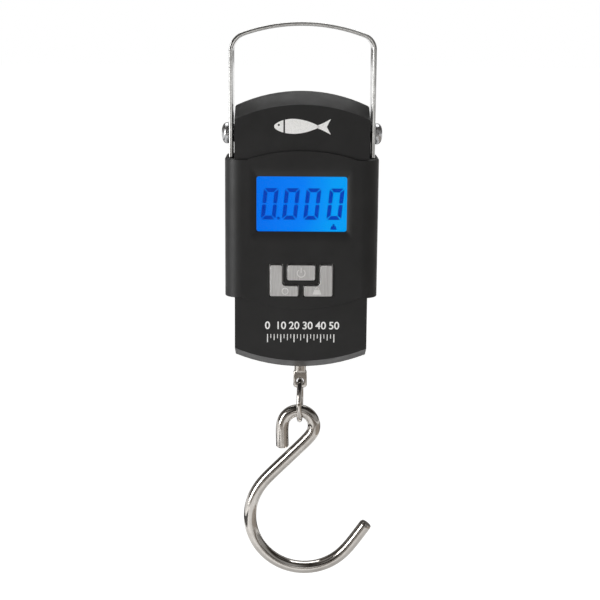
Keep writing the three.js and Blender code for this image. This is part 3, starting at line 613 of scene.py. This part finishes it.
def strap_path():
    """The strap's inner line, from the end of the left leg over the arch to the right one's."""
    inner = STRAP_HALF_WIDTH - STRAP_THICKNESS

    def bend(side, outer_radius):
        radius = outer_radius - STRAP_THICKNESS
        x = side * (STRAP_HALF_WIDTH - outer_radius)
        reach = ARCH_RADIUS - radius
        z = -ARCH_RADIUS + math.sqrt(reach * reach - x * x)
        return x, z, radius, math.degrees(math.atan2(z + ARCH_RADIUS, x))

    lx, lz, lr, left_angle = bend(-1, BEND_LEFT)
    rx, rz, rr, right_angle = bend(1, BEND_RIGHT)
    path = [(-inner, LEG_END, -1, 0)]
    path += arc_path(lx, lz, lr, 180, left_angle, 5)
    path += arc_path(0, -ARCH_RADIUS, ARCH_RADIUS, left_angle, right_angle, 0.8)[1:-1]
    path += arc_path(rx, rz, rr, right_angle, 0, 5)
    path.append((inner, LEG_END, 1, 0))
    return path


def slot_cutter(side):
    """An upright round-ended bar through one leg."""
    outline = [
        (SLOT_HALF_WIDTH * math.cos(a), z + SLOT_HALF_WIDTH * math.sin(a))
        for z, start in ((SLOT_TOP - SLOT_HALF_WIDTH, 0), (SLOT_BOTTOM + SLOT_HALF_WIDTH, 180))
        for a in (math.radians(start + i * 10) for i in range(19))
    ]
    rings = [[(side * x, y, z) for y, z in outline] for x in (25.0, 31.0)]
    return mesh_object("slot_cutter", *skin(rings))


def build_handle():
    half = STRAP_THICKNESS / 2
    section = [
        (half + u, v) for u, v in rounded_rectangle(half, STRAP_HALF_DEPTH, STRAP_EDGE)
    ]
    strap = swept("handle_strap", strap_path(), section)
    carve(strap, slot_cutter(-1), slot_cutter(1))
    soften(strap, SLOT_EDGE, 40)
    shade_by_angle(strap.data, 35)
    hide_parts("handle")
    finish_piece(strap, "handle", "polished_steel")


# ---------------------------------------------------------------- side screws


def recess_cutter(sign):
    """A tapered cross for the driver, each arm between two levels of (x, half-length, half-width)."""
    arms = []
    for along_y in (True, False):
        rings = []
        for x, reach, width in ((HEAD_TOP - 1.5, 0.9, 0.28), (HEAD_TOP + 0.4, 2.35, 0.5)):
            pairs = ((reach, width), (-reach, width), (-reach, -width), (reach, -width))
            rings.append(
                [
                    (sign * x, a if along_y else b, SCREW_Z + (b if along_y else a))
                    for a, b in pairs
                ]
            )
        arms.append(mesh_object("recess_arm", *skin(rings), smooth=False))
    return carve(arms[0], arms[1], operation="UNION")


def build_side_screw(name, sign):
    """A screw with a domed head, as long as the CAD node that it replaces."""
    low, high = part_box(name)
    reach = min(abs(low.x), abs(high.x)) / MM
    dome = []
    for i in range(11):
        angle = math.radians(90 * i / 10)
        x = HEAD_BASE + HEAD_RIM + (HEAD_TOP - HEAD_BASE - HEAD_RIM) * math.sin(angle)
        dome.append((x, max(0.02, HEAD_RADIUS * math.cos(angle) ** 0.8)))
    profile = [
        (reach, SCREW_SHANK - SHANK_CHAMFER),
        (reach + SHANK_CHAMFER, SCREW_SHANK),
        (HEAD_BASE, SCREW_SHANK),
        (HEAD_BASE, HEAD_RADIUS - HEAD_CHAMFER),
        (HEAD_BASE + HEAD_CHAMFER, HEAD_RADIUS),
    ]
    screw = lathed(name + "_visual", profile + dome, sign)
    carve(screw, recess_cutter(sign))
    shade_by_angle(screw.data, 32)
    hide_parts(name)
    finish_piece(screw, "housing", "zinc_steel")


# ---------------------------------------------------------------- hanger, ring, hook


def hanger_hole():
    """A cutter for the eye, flared at both faces, from levels of (y, radius)."""
    mouth = HANGER_HOLE_RADIUS + HANGER_HOLE_FLARE
    levels = ((-2.4, mouth), (-1.3, HANGER_HOLE_RADIUS), (1.3, HANGER_HOLE_RADIUS), (2.4, mouth))
    rings = [
        [(x, y, HANGER_HOLE_Z + z) for x, z in circle_points(radius, 40)] for y, radius in levels
    ]
    return mesh_object("hole", *skin(rings))


def build_hanger():
    """A flat lug with an eye, under a round rod, from levels of (z, share of the lug's width)."""
    low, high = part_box("hanger")
    top, bottom = high.z / MM, low.z / MM
    shoulder = HANGER_HOLE_Z + HANGER_SHOULDER
    levels = [
        (bottom, 0.55), (bottom + 0.25, 0.8), (bottom + 0.7, 0.95), (bottom + 1.2, 1.0),
        (shoulder - 0.6, 1.0), (shoulder, 0.93),
    ]
    rings = []
    for z, share in levels:
        half_width = HANGER_HALF_WIDTH * share
        half_depth = HANGER_HALF_DEPTH * (0.4 + 0.6 * share)
        outline = rounded_rectangle(half_width, half_depth, HANGER_CORNER, 5)
        rings.append([(x, y, z) for x, y in outline])
    rod = circle_points(HANGER_ROD_RADIUS, 24, math.radians(3.75))
    for z in (shoulder + 0.5, top):
        rings.append([(x, y, z) for x, y in rod])
    lug = mesh_object("hanger_lug", *skin(rings))
    carve(lug, hanger_hole())
    shade_by_angle(lug.data, 35)
    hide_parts("hanger")
    finish_piece(lug, "housing", "plated_steel")


def build_ring():
    """The small ring, which stands nearly in the side plane."""
    turn_cos, turn_sin = math.cos(math.radians(RING_TURN)), math.sin(math.radians(RING_TURN))
    rings = []
    for c, s in circle_points(1.0, 96):
        section = []
        for u, v in circle_points(RING_WIRE, 20):
            y = (RING_RADIUS + v) * c
            z = RING_Z + (RING_RADIUS + v) * s
            section.append((u * turn_cos - y * turn_sin, u * turn_sin + y * turn_cos, z))
        rings.append(section)
    ring = mesh_object("small_ring", *skin(rings, closed=True))
    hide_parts("hanger_ring")
    finish_piece(ring, "ring", "plated_steel")


def hook_path():
    """The hook's centre line: eye leg, eye, straight shank, bowl and tip."""
    ex, ez = HOOK_EYE
    bx, bz = HOOK_BOWL
    path = []
    for i in range(9):
        share = 1 - i / 8
        path.append((ex - HOOK_EYE_RADIUS + 0.3 * share, ez - HOOK_EYE_LEG * share, -1, 0))
    path += arc_path(ex, ez, HOOK_EYE_RADIUS, 180, -HOOK_SLOPE, 3)[1:]
    path += arc_path(bx, bz, HOOK_BOWL_RADIUS, 180 - HOOK_SLOPE, HOOK_BOWL_END, 1.6, -1)
    x, z, nx, nz = path[-1]
    for i in range(1, 9):
        share = HOOK_TIP * i / 8
        path.append((x + nz * share, z - nx * share, nx, nz))
    return path


def eased(path, step=0.7, passes=60):
    """The path at even steps, with its changes of curvature smoothed, as a bent wire's are."""
    line = [Vector((x, z)) for x, z, _, _ in path]
    even = [line[0]]
    for a, b in zip(line, line[1:]):
        count = max(1, round((b - a).length / step))
        even += [a.lerp(b, i / count) for i in range(1, count + 1)]
    for _ in range(passes):
        inner = [(a + 2 * b + c) / 4 for a, b, c in zip(even, even[1:], even[2:])]
        even = [even[0], *inner, even[-1]]
    eased_path = []
    for i, point in enumerate(even):
        along = (even[min(i + 1, len(even) - 1)] - even[max(i - 1, 0)]).normalized()
        eased_path.append((point.x, point.y, -along.y, along.x))
    return eased_path


def build_hook():
    """The hook as one round wire, cut square with a small chamfer at each end."""
    path = eased(hook_path())
    section = circle_points(HOOK_WIRE, 40)
    small = (HOOK_WIRE - HOOK_CHAMFER) / HOOK_WIRE
    rings = []
    for index, (x, z, nx, nz) in enumerate(path):
        share = small if index in (0, len(path) - 1) else 1.0
        rings.append([(x + share * u * nx, share * v, z + share * u * nz) for u, v in section])
    hook = mesh_object("load_hook", *skin(rings))
    shade_by_angle(hook.data, 35)
    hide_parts("hook")
    finish_piece(hook, "hook", "plated_steel")


# ---------------------------------------------------------------- display digits and printing


def front_plates(name, outlines, face, thickness):
    """Thin plates on a face that looks to the front, from outlines of (x, z)."""
    points, faces = [], []
    for outline in outlines:
        first, count = len(points), len(outline)
        points += [(x, -face, z) for x, z in outline]
        points += [(x, -face - thickness, z) for x, z in outline]
        faces.append(tuple(range(first, first + count)))
        faces.append(tuple(range(first + count, first + 2 * count)))
        for j in range(count):
            k = (j + 1) % count
            faces.append((first + j, first + k, first + count + k, first + count + j))
    return mesh_object(name, points, faces, smooth=False)


def zero_segments(left):
    """Outlines of the six lit segments of a slanted seven-segment nought."""
    height, thick, gap = DIGIT_TOP - DIGIT_BOTTOM, SEGMENT_WIDTH, SEGMENT_GAP
    width, middle = DIGIT_WIDTH - DIGIT_SLANT * height, height / 2
    end = gap + 0.25
    level = [
        (end, 0), (width - end, 0), (width - thick - gap, thick), (thick + gap, thick),
    ]
    upright = [
        (0, end), (0, middle - SEGMENT_NOSE), (thick / 2, middle - gap),
        (thick, middle - SEGMENT_NOSE), (thick, thick + gap),
    ]
    lower = [level, upright, [(width - x, z) for x, z in upright]]
    both = lower + [[(x, height - z) for x, z in outline] for outline in lower]
    return [
        [(left + x + DIGIT_SLANT * z, DIGIT_BOTTOM + z) for x, z in outline] for outline in both
    ]


def placed(outline, x, z):
    return [(x + u, z + v) for u, v in outline]


def build_lcd_digits():
    """Four noughts, a point, and a small weight in place of a unit."""
    outlines = [outline for left in DIGIT_LEFTS for outline in zero_segments(left)]
    outlines.append(placed(circle_points(POINT_RADIUS, 12), *POINT_PLACE))
    weight = [(-1.25, -1.0), (1.25, -1.0), (0.85, 0.45), (-0.85, 0.45)]
    outlines.append(placed(weight, *WEIGHT_PLACE))
    outlines.append(placed(circle_points(WEIGHT_KNOB_RADIUS, 14), WEIGHT_PLACE[0], WEIGHT_KNOB_Z))
    digits = front_plates("lcd_digits", outlines, LCD_FACE + INK_LIFT, INK_THICKNESS)
    finish_piece(digits, "housing", "blue_display", lcd_segment)


def fish_outlines(x, z, length, height):
    """A plain fish mark: a body with a gap behind the head, a tail and an eye left open."""
    half = length / 2

    def side(share):
        return height / 2 * math.sin(math.pi * share ** 0.8) ** 0.75

    def span(start, end, count=18):
        shares = [start + (end - start) * i / count for i in range(count + 1)]
        upper = [(x - half + s * length * 0.8, z + side(s)) for s in shares]
        lower = [(x - half + s * length * 0.8, z - side(s) * 0.92) for s in reversed(shares)]
        return upper + lower

    tail = x - half + length * 0.77
    tip = x + half
    fork = [
        (tail, z + 0.55), (tail + 0.11 * length, z + 0.26 * height), (tip, z + 0.5 * height),
        (tip - 0.07 * length, z), (tip, z - 0.5 * height), (tail + 0.11 * length, z - 0.26 * height),
        (tail, z - 0.55),
    ]
    return [span(0.01, 0.21), span(0.245, 0.985), fork]


def build_front_mark():
    outlines = fish_outlines(*FISH_PLACE, FISH_LENGTH, FISH_HEIGHT)
    mark = front_plates("front_fish_mark", outlines, BODY_FACE, PRINT_THICKNESS)
    eye_outline = placed(circle_points(FISH_EYE_RADIUS, 20), *FISH_EYE_PLACE)
    carve(mark, front_plates("eye", [eye_outline], BODY_FACE - 0.05, 0.2))
    finish_piece(mark, "housing", "black_plastic", print_white)


def number_mesh(text, x, z):
    """Upright figures on the body's face, as a mesh."""
    curve = bpy.data.curves.new("number", "FONT")
    curve.body = text
    curve.size = NUMBER_SIZE * MM
    curve.extrude = PRINT_THICKNESS * MM / 2
    curve.offset = NUMBER_THICKENING * MM
    curve.align_x = "CENTER"
    curve.align_y = "CENTER"
    obj = bpy.data.objects.new("number", curve)
    obj.rotation_euler = Euler((math.radians(90), 0, 0))
    obj.location = Vector((x, -BODY_FACE - PRINT_THICKNESS / 2, z)) * MM
    scene.collection.objects.link(obj)
    bpy.context.view_layer.update()
    graph = bpy.context.evaluated_depsgraph_get()
    mesh = bpy.data.meshes.new_from_object(obj.evaluated_get(graph))
    mesh.transform(obj.matrix_world)
    bpy.data.objects.remove(obj)
    return mesh


def build_graduations():
    """A row of graduation marks under a row of plain numbers, as on a dial."""
    steps = 20
    outlines = []
    for i in range(steps + 1):
        x = SCALE_HALF * (2 * i / steps - 1)
        length, half = (LONG_TICK, SHORT_TICK, MIDDLE_TICK, SHORT_TICK)[i % 4]
        outlines.append(
            [
                (x - half, SCALE_TICKS_TOP - length), (x + half, SCALE_TICKS_TOP - length),
                (x + half, SCALE_TICKS_TOP), (x - half, SCALE_TICKS_TOP),
            ]
        )
    row = front_plates("graduation_marks", outlines, BODY_FACE, PRINT_THICKNESS)
    work = bmesh.new()
    work.from_mesh(row.data)
    for i in range(6):
        x = SCALE_HALF * (2 * i / 5 - 1)
        work.from_mesh(number_mesh(str(10 * i), x, NUMBERS_Z))
    work.to_mesh(row.data)
    work.free()
    finish_piece(row, "housing", "black_plastic", print_white)


def band(radius, width, start, end, count=24):
    """The outline of a band inside an arc about the origin, from one angle to another."""
    angles = [math.radians(start + (end - start) * i / count) for i in range(count + 1)]
    hole = radius - width
    outer = [(radius * math.cos(a), radius * math.sin(a)) for a in angles]
    inner = [(hole * math.cos(a), hole * math.sin(a)) for a in reversed(angles)]
    return outer + inner


def build_key_symbols():
    """Low embossed symbols: on and off, zero, and a small weight."""
    half = SYMBOL_LINE / 2
    stroke = [(-half, 0.1), (half, 0.1), (half, 2.2), (-half, 2.2)]
    power = [band(1.75, SYMBOL_LINE, 125, 415), stroke]
    tare = [band(1.4, SYMBOL_LINE, start, start + 180) for start in (0, 180)]
    weight = [(-1.7, -2.2), (1.7, -2.2), (1.1, -0.2), (-1.1, -0.2)]
    unit = [weight, band(0.75, 0.3, -10, 190, 14)]
    for name, body, outlines, place in (
        ("power_symbol", "power_key", power, POWER_PLACE),
        ("tare_symbol", "tare_key", tare, TARE_PLACE),
        ("unit_symbol", "unit_key", unit, UNIT_PLACE),
    ):
        outlines = [placed(outline, *place) for outline in outlines]
        symbol = front_plates(name, outlines, BUTTON_FACE - SYMBOL_SINK, SYMBOL_THICKNESS)
        finish_piece(symbol, body, "brushed_silver", bright_silver)


# ---------------------------------------------------------------- studio


def stage_material(name, colour, glow):
    """A matt studio surface. Its glow stands for the lamps behind and under it."""
    paint = Paint(name)
    cloud = paint.noise(3, 3)
    dim = tuple(0.97 * c for c in colour)
    paint.set(
        Base_Color=paint.colours(cloud, (0.3, dim), (0.7, colour)),
        Roughness=0.9,
        Specular_IOR_Level=0.1,
        Emission_Color=colour,
        Emission_Strength=glow,
    )
    return paint.material


def pale_floor_painted_shadow():
    """A pale floor that glows evenly far out, with a painted shadow: its glow is dimmed in a round patch
    under the scale.
    """
    paint = Paint("pale_floor_painted_shadow")
    distance = paint.new("ShaderNodeVectorMath", operation="LENGTH")
    paint.link(paint.stretched((1, 1, 0)), distance.inputs[0])
    # Painted shadow: the glow drops from 0.93 to 0.4 towards the point under the scale.
    glow = paint.spread(distance.outputs["Value"], 0.4, 0.93, 0.12, 0.42)
    cloud = paint.noise(2, 3)
    paint.set(
        Base_Color=paint.colours(cloud, (0.3, (0.50, 0.50, 0.50)), (0.7, (0.52, 0.52, 0.52))),
        Roughness=0.9,
        Specular_IOR_Level=0.1,
        Emission_Color=(1.0, 1.0, 1.0),
        Emission_Strength=glow,
    )
    return paint.material


def card(name, x, y, z, colour, glow=1.0):
    """A flat glowing card that the camera doesn't see. One of the three ranges is a single place."""
    ranges = [(v, v) if isinstance(v, (int, float)) else v for v in (x, y, z)]
    flat = [i for i in range(3) if ranges[i][0] == ranges[i][1]][0]
    u, v = [i for i in range(3) if i != flat]
    corners = []
    for i, j in ((0, 0), (1, 0), (1, 1), (0, 1)):
        corner = [ranges[flat][0]] * 3
        corner[u], corner[v] = ranges[u][i], ranges[v][j]
        corners.append(corner)
    obj = mesh_object(name, corners, [(0, 1, 2, 3)], smooth=False)
    obj.data.materials.append(stage_material(name + "_face", colour, glow))
    obj.visible_camera = False
    obj.visible_shadow = False


def build_floor():
    """A round floor, with its rings closer together near the scale."""
    rings, sides = 12, 64
    points = [(0, 0, FLOOR_Z)]
    faces = []
    for r in range(1, rings + 1):
        radius = FLOOR_RADIUS * (r / rings) ** 1.5
        points += [(x, y, FLOOR_Z) for x, y in circle_points(radius, sides)]
    for j in range(sides):
        k = (j + 1) % sides
        faces.append((0, 1 + j, 1 + k))
        for r in range(rings - 1):
            a, b = 1 + r * sides, 1 + (r + 1) * sides
            faces.append((a + j, b + j, b + k, a + k))
    floor = mesh_object("studio_floor", points, faces)
    floor.data.materials.append(pale_floor_painted_shadow())


def soft_light(name, place, target, width, height, power):
    """A white lamp, in metres and watts."""
    light = bpy.data.lights.new(name, "AREA")
    light.shape = "RECTANGLE"
    light.size, light.size_y = width, height
    light.energy = power
    obj = bpy.data.objects.new(name, light)
    obj.location = place
    obj.rotation_euler = (Vector(target) - Vector(place)).to_track_quat("-Z", "Y").to_euler()
    obj.visible_camera = False
    scene.collection.objects.link(obj)


def build_world():
    """A dim room of uneven brightness, and plain white where the camera sees past everything."""
    world = bpy.data.worlds.new("studio")
    scene.world = world
    world.use_nodes = True
    tree = world.node_tree
    new, link = tree.nodes.new, tree.links.new
    tree.nodes.clear()
    coordinates = new("ShaderNodeTexCoord")
    noise = new("ShaderNodeTexNoise")
    noise.inputs["Scale"].default_value = 1.7
    noise.inputs["Detail"].default_value = 1.5
    link(coordinates.outputs["Generated"], noise.inputs["Vector"])
    ramp = new("ShaderNodeValToRGB")
    stops = ramp.color_ramp.elements
    stops.new(0.5)
    for stop, position, colour in zip(
        stops, (0.40, 0.5, 0.60), ((0.035, 0.03, 0.026), (0.14, 0.13, 0.12), (0.42, 0.415, 0.41))
    ):
        stop.position = position
        stop.color = (*colour, 1)
    link(noise.outputs["Fac"], ramp.inputs["Fac"])
    room = new("ShaderNodeBackground")
    link(ramp.outputs["Color"], room.inputs["Color"])
    room.inputs["Strength"].default_value = 1.0
    seen = new("ShaderNodeBackground")
    seen.inputs["Color"].default_value = (1, 1, 1, 1)
    path = new("ShaderNodeLightPath")
    mix = new("ShaderNodeMixShader")
    link(path.outputs["Is Camera Ray"], mix.inputs["Fac"])
    link(room.outputs["Background"], mix.inputs[1])
    link(seen.outputs["Background"], mix.inputs[2])
    output = new("ShaderNodeOutputWorld")
    link(mix.outputs["Shader"], output.inputs["Surface"])


def build_studio():
    """Lamps, a card behind the camera, and mats and strips that lie just above the floor."""
    build_world()
    build_floor()
    soft_light("key", (-0.92, -0.58, 0.06), (0, 0, -0.10), 0.35, 0.7, 8.0)
    soft_light("top", (0.0, 0.22, 0.5), (0, 0.02, -0.05), 0.6, 0.4, 2.8)
    warm, black, white = (0.34, 0.31, 0.28), (0.03, 0.028, 0.026), (1, 1, 1)
    card("front_glow", (-200, 200), -1500, (-190, -25), white, 0.9)
    card("near_mat", (-450, 450), (-760, -330), -425, white, 0.55)
    card("far_mat", (-2500, 2500), (-4500, -800), -425, warm, 0.5)
    card("right_mat", (300, 1800), (-700, 1300), -424, warm)
    card("back_strip", (-700, 700), (430, 1300), -423, black)
    card("left_strip", (-640, -380), (-600, 520), -422, black)


def build_camera():
    camera = bpy.data.objects.new("camera", bpy.data.cameras.new("camera"))
    camera.data.lens = CAMERA_LENS
    camera.data.sensor_width = 36
    camera.data.shift_y = CAMERA_SHIFT
    camera.data.clip_start = 0.02
    camera.data.clip_end = 60
    camera.location = CAMERA_PLACE
    pose = Euler((math.radians(90 - CAMERA_PITCH), 0, math.radians(-CAMERA_YAW)), "XYZ")
    camera.rotation_euler = pose
    camera.rotation_euler.rotate_axis("Z", math.radians(CAMERA_ROLL))
    scene.collection.objects.link(camera)
    scene.camera = camera


# ---------------------------------------------------------------- the scale

dress_cad_nodes()
build_handle()
build_side_screw("side_screw_left", -1)
build_side_screw("side_screw_right", 1)
build_hanger()
build_ring()
build_hook()
build_lcd_digits()
build_front_mark()
build_graduations()
build_key_symbols()
build_studio()
build_camera()
scene.view_settings.view_transform = "Standard"
scene.view_settings.look = "None"
